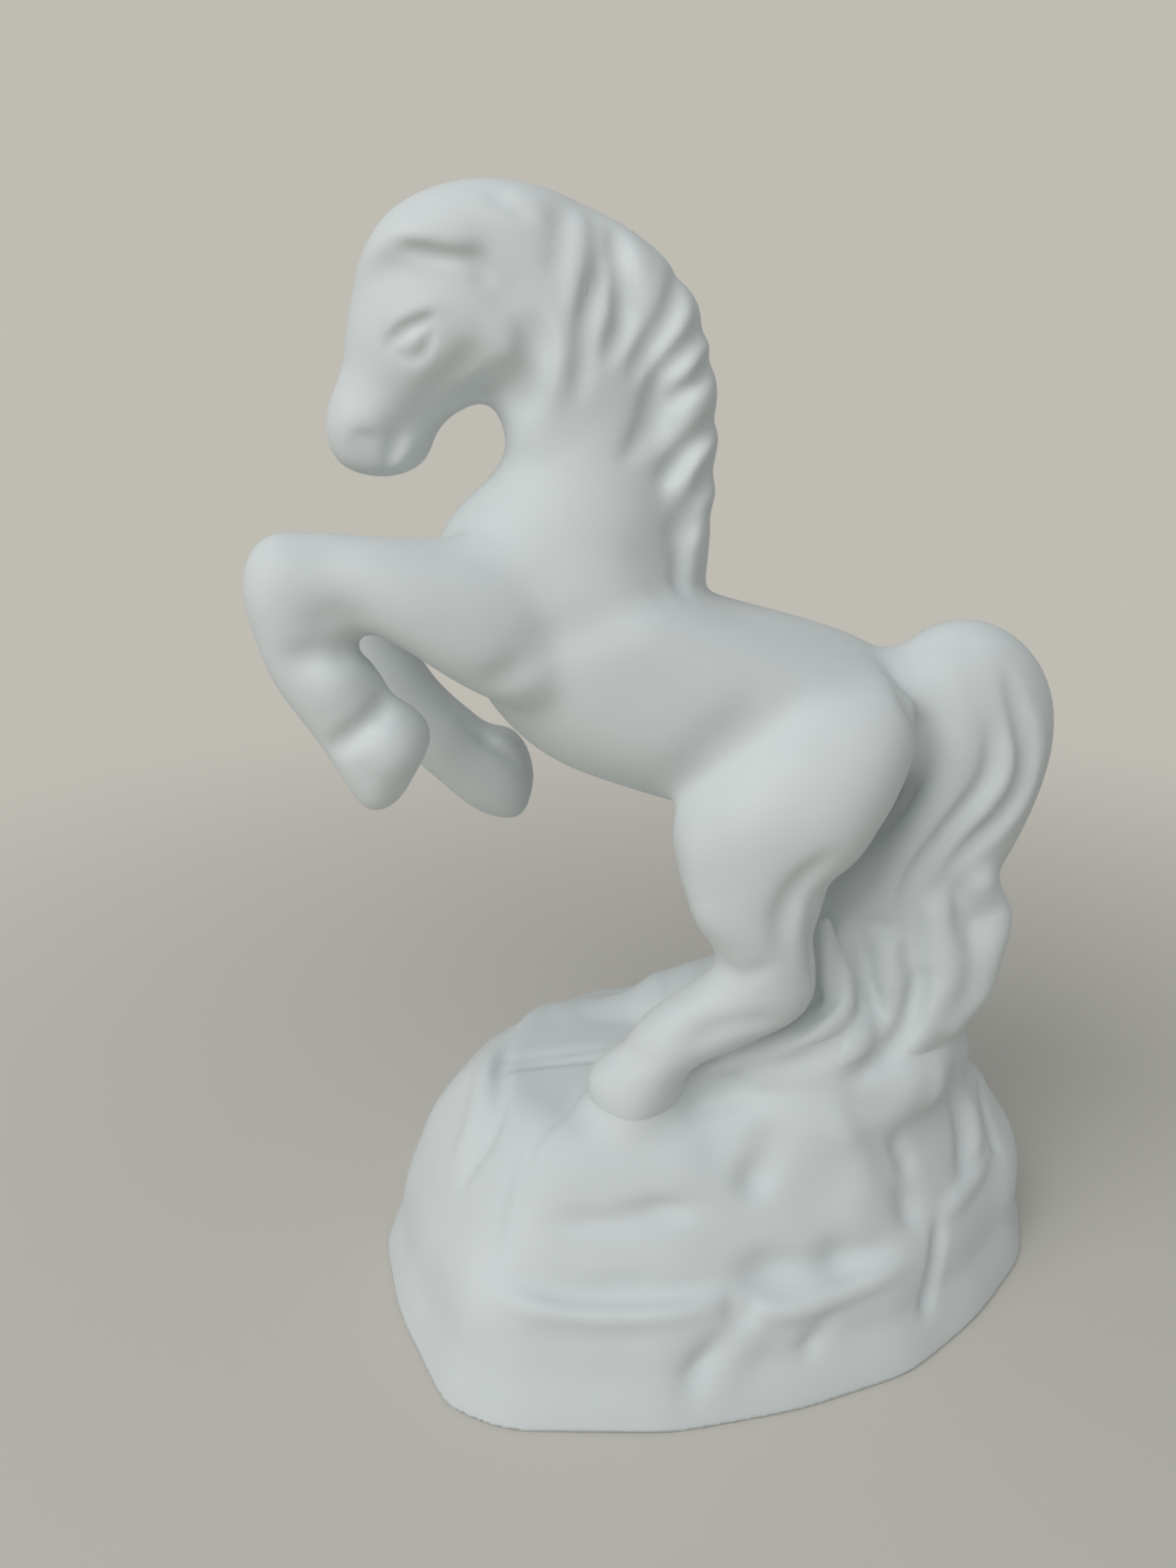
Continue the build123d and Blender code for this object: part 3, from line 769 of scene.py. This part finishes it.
# Castings: the skin is cut at the joints of the solids
def cut(places, faces, values, mask):
    """Cuts the triangles in the mask where a value at the corners changes sign.

    Returns the new mesh and the cut corners."""
    values = np.where(np.abs(values) < 1e-5, 1e-5, values)
    sign = values > 0
    mixed = mask & (sign[faces].any(1)) & (~sign[faces].all(1))
    whole = faces[~mixed]
    split = faces[mixed]
    alone = np.where(sign[split].sum(1) == 1, np.argmax(sign[split], 1), np.argmin(sign[split], 1))
    rows = np.arange(len(split))
    a = split[rows, alone]
    b = split[rows, (alone + 1) % 3]
    c = split[rows, (alone + 2) % 3]
    edges = np.concatenate([np.stack([a, b], 1), np.stack([a, c], 1)])
    keys, inverse = np.unique(np.sort(edges, 1), axis=0, return_inverse=True)
    inverse = inverse.ravel()
    first = values[keys[:, 0]]
    second = values[keys[:, 1]]
    share = (first / (first - second))[:, None]
    fresh = places[keys[:, 0]] * (1 - share) + places[keys[:, 1]] * share
    ab = len(places) + inverse[: len(split)]
    ac = len(places) + inverse[len(split):]
    parts = [
        whole,
        np.stack([a, ab, ac], 1),
        np.stack([ab, b, c], 1),
        np.stack([ab, c, ac], 1),
    ]
    cut_corners = np.arange(len(places), len(places) + len(keys))
    return np.concatenate([places, fresh]), np.concatenate(parts), cut_corners


# a joint is looked for among a node's largest faces, and allows for rounding in their gap and turn
joint_faces = 4000
joint_gap = 0.02
joint_cosine = 0.999


def joint_between(name, other):
    """Middle and normal of the flat face that two CAD nodes share."""
    places, faces = node_mesh(name)
    corners = places[faces]
    normals = np.cross(corners[:, 1] - corners[:, 0], corners[:, 2] - corners[:, 0])
    areas = np.linalg.norm(normals, axis=1)
    middles = corners.mean(1)
    tree = tree_of(*node_mesh(other))
    touching = []
    for index in np.argsort(-areas)[:joint_faces]:
        if areas[index] < 1e-6:
            continue
        _, facing, _, gap = tree.find_nearest(Vector(middles[index]))
        cosine = abs(Vector(normals[index] / areas[index]).dot(facing))
        if gap < joint_gap and cosine > joint_cosine:
            touching.append(index)
    touching = np.array(touching)
    middle = (middles[touching] * areas[touching][:, None]).sum(0) / areas[touching].sum()
    normal = normals[touching[0]] / areas[touching[0]]
    return middle, normal


# the nodes at each flat joint, and how far round its middle the skin is cut
joints = [
    ("neck", "torso", 30.0),
    ("head", "neck", 17.0),
    ("tail", "torso", 16.0),
    ("left_foreleg", "torso", 10.0),
    ("right_foreleg", "torso", 10.0),
    ("left_hind_leg", "torso", 14.0),
    ("right_hind_leg", "torso", 14.0),
]
places, faces = horse.mesh()
places = horse.settle(places)
body = Field(raw.low * voxel, (raw.low + raw.shape - 1) * voxel)
for name in horse_nodes:
    if name not in hair_nodes:
        body.add_mesh(*node_mesh(name))
# blurred a little, so that the hairline runs smoothly
hairline_blur = 0.8
body.soften(hairline_blur)
hair.soften(hairline_blur)
hairline_shift = 0.3


def hairiness(at):
    """Below zero where the skin belongs to the mane or forelock."""
    distance = hair.sample(at)
    return np.where(distance > band / 2, band, distance - body.sample(at) - hairline_shift)


# the hair comes off the body, then the mane off the forelock at the poll, then each joint is cut
seams = []
places, faces, corners = cut(places, faces, hairiness(places), np.ones(len(faces), bool))
seams.append(corners)
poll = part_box("mane")[0].x / metre_per_mm
middles = places[faces].mean(1)
places, faces, corners = cut(places, faces, places[:, 0] - poll, hairiness(middles) < 0)
seams.append(corners)
rump_start = 15
for name, other, reach in joints:
    middle, normal = joint_between(name, other)
    middles = places[faces].mean(1)
    near = np.linalg.norm(middles - middle, axis=1) < reach
    if name == "head":
        near &= hairiness(middles) > 0
    if name in ("tail", "neck"):
        near &= (middles[:, 0] > rump_start) == (name == "tail")
    places, faces, corners = cut(places, faces, (places - middle) @ normal, near)
    seams.append(corners)

# where the tail's locks touch a hind leg, the cut runs midway between the two solids
trees = {name: tree_of(*node_mesh(name)) for name in horse_nodes}
hock_height = 26
hock_middle = 8
hock_reach = 16
between_limit = 4
for name in ("left_hind_leg", "right_hind_leg"):
    between = np.full(len(places), band)
    low_enough = places[:, 2] < mound_high + hock_height
    close_enough = np.abs(places[:, 0] - hock_middle) < hock_reach
    for index in np.flatnonzero(low_enough & close_enough):
        place = Vector(places[index])
        from_leg = trees[name].find_nearest(place, 2 * band)[3]
        from_tail = trees["tail"].find_nearest(place, 2 * band)[3]
        if from_leg is not None and from_tail is not None:
            between[index] = from_tail - from_leg
    near = (np.abs(between[faces]) < between_limit).all(1)
    places, faces, corners = cut(places, faces, between, near)
    seams.append(corners)

# regions are groups of triangles that share edges, apart from edges along a seam
seam_of = np.zeros(len(places), int)
for index, corners in enumerate(seams):
    seam_of[corners] = index + 1
edges = np.concatenate([faces[:, [0, 1]], faces[:, [1, 2]], faces[:, [2, 0]]])
edges.sort(1)
order = np.lexsort(edges.T)
edges = edges[order]
owners = np.tile(np.arange(len(faces)), 3)[order]
same = (edges[1:] == edges[:-1]).all(1)
neighbours = np.stack([owners[:-1][same], owners[1:][same]], 1)
seam_ends = seam_of[edges[:-1][same]]
on_seam = (seam_ends[:, 0] > 0) & (seam_ends[:, 0] == seam_ends[:, 1])
region = groups_of(len(faces), neighbours[~on_seam])


def nearest_node(place):
    """The CAD node that a place is nearest to."""
    return min(trees, key=lambda name: trees[name].find_nearest(Vector(place))[3])


def piece_name(part):
    """The CAD node that most of a region's skin lies on, from about sixty samples of it."""
    corners = places[faces[part].ravel()]
    picked = corners[:: max(1, len(corners) // 60)]
    best = [nearest_node(place) for place in picked]
    return max(sorted(set(best)), key=best.count)


# how far above the skin a joint's lid may come, so that it still doesn't show
fan_limit = 0.1
strip_limit = 0.25


def rim_strip(count):
    """Triangles that zip a rim of so many corners together, from one end of it to the other."""
    front = 0
    back = count - 1
    strip = []
    while back - front > 1:
        strip.append((front, front + 1, back))
        front += 1
        if back - front > 1:
            strip.append((front, back - 1, back))
            back -= 1
    return strip


def close_rims(work):
    """Closes each rim by a fan, or by a strip across it where a fan would come out of the skin.

    Returns how many rims stay open because a strip would come out too."""
    rims = [edge for edge in work.edges if edge.is_boundary]
    lids = bmesh.ops.holes_fill(work, edges=rims, sides=0)["faces"]
    corners = [list(lid.verts) for lid in lids]
    fans = []
    left_open = 0
    for lid, rim in zip(lids, corners):
        at = np.array([corner.co[:] for corner in rim]) / metre_per_mm
        middle = at.mean(0)
        if horse.sample((at + middle) / 2).max() < fan_limit:
            fans.append(lid)
            continue
        end = np.linalg.norm(at - middle, axis=1).argmax()
        at = np.roll(at, -end, axis=0)
        rim = rim[end:] + rim[:end]
        strip = np.array(rim_strip(len(rim)))
        bmesh.ops.delete(work, geom=[lid], context="FACES_ONLY")
        if horse.sample(at[strip].mean(1)).max() < strip_limit:
            for a, b, c in strip:
                work.faces.new((rim[a], rim[b], rim[c]))
        else:
            left_open += 1
    bmesh.ops.poke(work, faces=fans, center_mode="MEAN")
    return left_open


def casting(name, places, faces, normals, finish):
    """A closed piece with the skin's own normals and a simple face over each joint."""
    used, inverse = np.unique(faces, return_inverse=True)
    mesh = bpy.data.meshes.new(name)
    mesh.from_pydata((places[used] * metre_per_mm).tolist(), [], inverse.reshape(-1, 3).tolist())
    work = bmesh.new()
    work.from_mesh(mesh)
    skin_faces = len(work.faces)
    left_open = close_rims(work)
    work.to_mesh(mesh)
    work.free()
    if left_open:
        print(name, "has", left_open, "open rims")
    mesh.polygons.foreach_set("use_smooth", np.ones(len(mesh.polygons), bool))
    own = np.zeros(len(mesh.polygons) * 3)
    mesh.polygons.foreach_get("normal", own)
    own = own.reshape(-1, 3)
    corner_vertex = np.zeros(len(mesh.loops), int)
    mesh.loops.foreach_get("vertex_index", corner_vertex)
    corner_face = np.repeat(np.arange(len(mesh.polygons)), 3)
    # the middles of the fans take the normals of their own faces
    middles = np.zeros((len(mesh.vertices) - len(used), 3))
    split = np.concatenate([normals[used], middles])[corner_vertex]
    split = np.where((corner_face >= skin_faces)[:, None], own[corner_face], split)
    mesh.normals_split_custom_set(split.tolist())
    mesh.materials.append(finish)
    piece = bpy.data.objects.new(name + "_skin", mesh)
    bpy.context.scene.collection.objects.link(piece)
    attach(piece, "root")
    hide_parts(name)


# Bisque: matt porcelain with a slightly cloudy tone, a fine grain and a few specks
def bisque_finish():
    material = bpy.data.materials.new("bisque")
    material.use_nodes = True
    nodes = material.node_tree.nodes
    links = material.node_tree.links
    shader = nodes["Principled BSDF"]
    shader.inputs["Roughness"].default_value = 0.58
    shader.inputs["Specular IOR Level"].default_value = 0.32
    place = nodes.new("ShaderNodeTexCoord")
    clouds = nodes.new("ShaderNodeTexNoise")
    clouds.inputs["Scale"].default_value = 45.0
    clouds.inputs["Detail"].default_value = 4.0
    tone = nodes.new("ShaderNodeValToRGB")
    tone.color_ramp.elements[0].position = 0.3
    tone.color_ramp.elements[0].color = (0.640, 0.680, 0.676, 1)
    tone.color_ramp.elements[1].position = 0.7
    tone.color_ramp.elements[1].color = (0.688, 0.728, 0.724, 1)
    grit = nodes.new("ShaderNodeTexVoronoi")
    grit.inputs["Scale"].default_value = 190.0
    speck = nodes.new("ShaderNodeValToRGB")
    speck.color_ramp.elements[0].position = 0.035
    speck.color_ramp.elements[0].color = (0.42, 0.41, 0.37, 1)
    speck.color_ramp.elements[1].position = 0.07
    speck.color_ramp.elements[1].color = (1, 1, 1, 1)
    rarity = nodes.new("ShaderNodeMath")
    rarity.operation = "GREATER_THAN"
    rarity.inputs[1].default_value = 0.93
    mix = nodes.new("ShaderNodeMix")
    mix.data_type = "RGBA"
    mix.blend_type = "MULTIPLY"
    grain = nodes.new("ShaderNodeTexNoise")
    grain.inputs["Scale"].default_value = 2600.0
    grain.inputs["Detail"].default_value = 3.0
    bump = nodes.new("ShaderNodeBump")
    bump.inputs["Strength"].default_value = 0.12
    bump.inputs["Distance"].default_value = 0.05 * metre_per_mm
    for texture in (clouds, grit, grain):
        links.new(place.outputs["Object"], texture.inputs["Vector"])
    links.new(clouds.outputs["Fac"], tone.inputs["Fac"])
    links.new(grit.outputs["Distance"], speck.inputs["Fac"])
    links.new(grit.outputs["Color"], rarity.inputs[0])
    links.new(rarity.outputs["Value"], mix.inputs["Factor"])
    links.new(tone.outputs["Color"], mix.inputs["A"])
    links.new(speck.outputs["Color"], mix.inputs["B"])
    links.new(mix.outputs["Result"], shader.inputs["Base Color"])
    links.new(grain.outputs["Fac"], bump.inputs["Height"])
    links.new(bump.outputs["Normal"], shader.inputs["Normal"])
    return material


bisque = bisque_finish()
normals = horse.slope(places)
parts = {}
for label in np.unique(region):
    part = region == label
    name = piece_name(part)
    parts[name] = parts.get(name, False) | part
for name, part in parts.items():
    casting(name, places, faces[part], normals, bisque)
places, faces = outer_skin(*rock.mesh())
places = rock.settle(places)
casting("rock_base", places, faces, rock.slope(places), bisque)

# Camera
camera_data = bpy.data.cameras.new("camera")
camera_data.sensor_fit = "AUTO"
camera_data.sensor_width = sensor_side
camera_data.lens = sensor_side * photo_focal / photo_height
camera_data.clip_start = 0.005
camera_data.clip_end = 10
camera = bpy.data.objects.new("camera", camera_data)
camera.location = Vector(camera_place) * metre_per_mm
camera.rotation_euler = (pi / 2 - camera_pitch, 0, 0)
bpy.context.scene.collection.objects.link(camera)
bpy.context.scene.camera = camera


# Room: a plain pale floor that runs into a plain pale background, and soft studio light
backdrop_colour = (0.520, 0.503, 0.455, 1)
floor_colour = (0.60, 0.58, 0.53, 1)
floor_half = 6.0


def seen_directly(nodes, links):
    """One for camera, glossy and transmission rays, so that mirrors and glass show the background too."""
    path = nodes.new("ShaderNodeLightPath")
    total = path.outputs["Is Camera Ray"]
    for kind in ("Is Glossy Ray", "Is Transmission Ray"):
        either = nodes.new("ShaderNodeMath")
        either.operation = "MAXIMUM"
        links.new(total, either.inputs[0])
        links.new(path.outputs[kind], either.inputs[1])
        total = either.outputs["Value"]
    return total


def floor_piece():
    """The floor, which fades into the backdrop between 70 and 300 mm from the figurine."""
    signs = [(-1, -1), (1, -1), (1, 1), (-1, 1)]
    corners = [(x * floor_half, y * floor_half, 0) for x, y in signs]
    mesh = bpy.data.meshes.new("floor")
    mesh.from_pydata(corners, [], [(0, 1, 2, 3)])
    material = bpy.data.materials.new("floor")
    material.use_nodes = True
    nodes = material.node_tree.nodes
    links = material.node_tree.links
    shader = nodes["Principled BSDF"]
    shader.inputs["Base Color"].default_value = floor_colour
    shader.inputs["Roughness"].default_value = 0.85
    far = nodes.new("ShaderNodeEmission")
    far.inputs["Color"].default_value = backdrop_colour
    place = nodes.new("ShaderNodeTexCoord")
    away = nodes.new("ShaderNodeVectorMath")
    away.operation = "LENGTH"
    fade = nodes.new("ShaderNodeMapRange")
    fade.interpolation_type = "SMOOTHSTEP"
    fade.inputs["From Min"].default_value = 0.07
    fade.inputs["From Max"].default_value = 0.30
    seen = nodes.new("ShaderNodeMath")
    seen.operation = "MULTIPLY"
    blend = nodes.new("ShaderNodeMixShader")
    links.new(place.outputs["Object"], away.inputs[0])
    links.new(away.outputs["Value"], fade.inputs["Value"])
    links.new(fade.outputs["Result"], seen.inputs[0])
    links.new(seen_directly(nodes, links), seen.inputs[1])
    links.new(seen.outputs["Value"], blend.inputs["Fac"])
    links.new(shader.outputs["BSDF"], blend.inputs[1])
    links.new(far.outputs["Emission"], blend.inputs[2])
    links.new(blend.outputs["Shader"], nodes["Material Output"].inputs["Surface"])
    mesh.materials.append(material)
    floor = bpy.data.objects.new("floor", mesh)
    bpy.context.scene.collection.objects.link(floor)


def sky():
    """A plain world that lights evenly and is seen as the backdrop."""
    world = bpy.data.worlds.new("world")
    world.use_nodes = True
    nodes = world.node_tree.nodes
    links = world.node_tree.links
    light = nodes["Background"]
    light.inputs["Color"].default_value = (0.95, 0.98, 1.0, 1)
    light.inputs["Strength"].default_value = 0.35
    backdrop = nodes.new("ShaderNodeBackground")
    backdrop.inputs["Color"].default_value = backdrop_colour
    blend = nodes.new("ShaderNodeMixShader")
    links.new(seen_directly(nodes, links), blend.inputs["Fac"])
    links.new(light.outputs["Background"], blend.inputs[1])
    links.new(backdrop.outputs["Background"], blend.inputs[2])
    links.new(blend.outputs["Shader"], nodes["World Output"].inputs["Surface"])
    bpy.context.scene.world = world


def lamp(name, place, watts):
    """A wide soft lamp that is aimed at the figurine's middle."""
    light = bpy.data.lights.new(name, "AREA")
    light.shape = "DISK"
    light.size = 0.7
    light.energy = watts
    lit = bpy.data.objects.new(name, light)
    lit.location = place
    aim = Vector((-0.01, 0, 0.07)) - Vector(place)
    lit.rotation_euler = aim.to_track_quat("-Z", "Y").to_euler()
    bpy.context.scene.collection.objects.link(lit)


floor_piece()
lamp("window", (-0.55, -0.47, 0.62), 3.0)
lamp("ceiling", (-0.20, -0.60, 0.72), 1.9)
sky()
bpy.context.scene.view_settings.view_transform = "Standard"
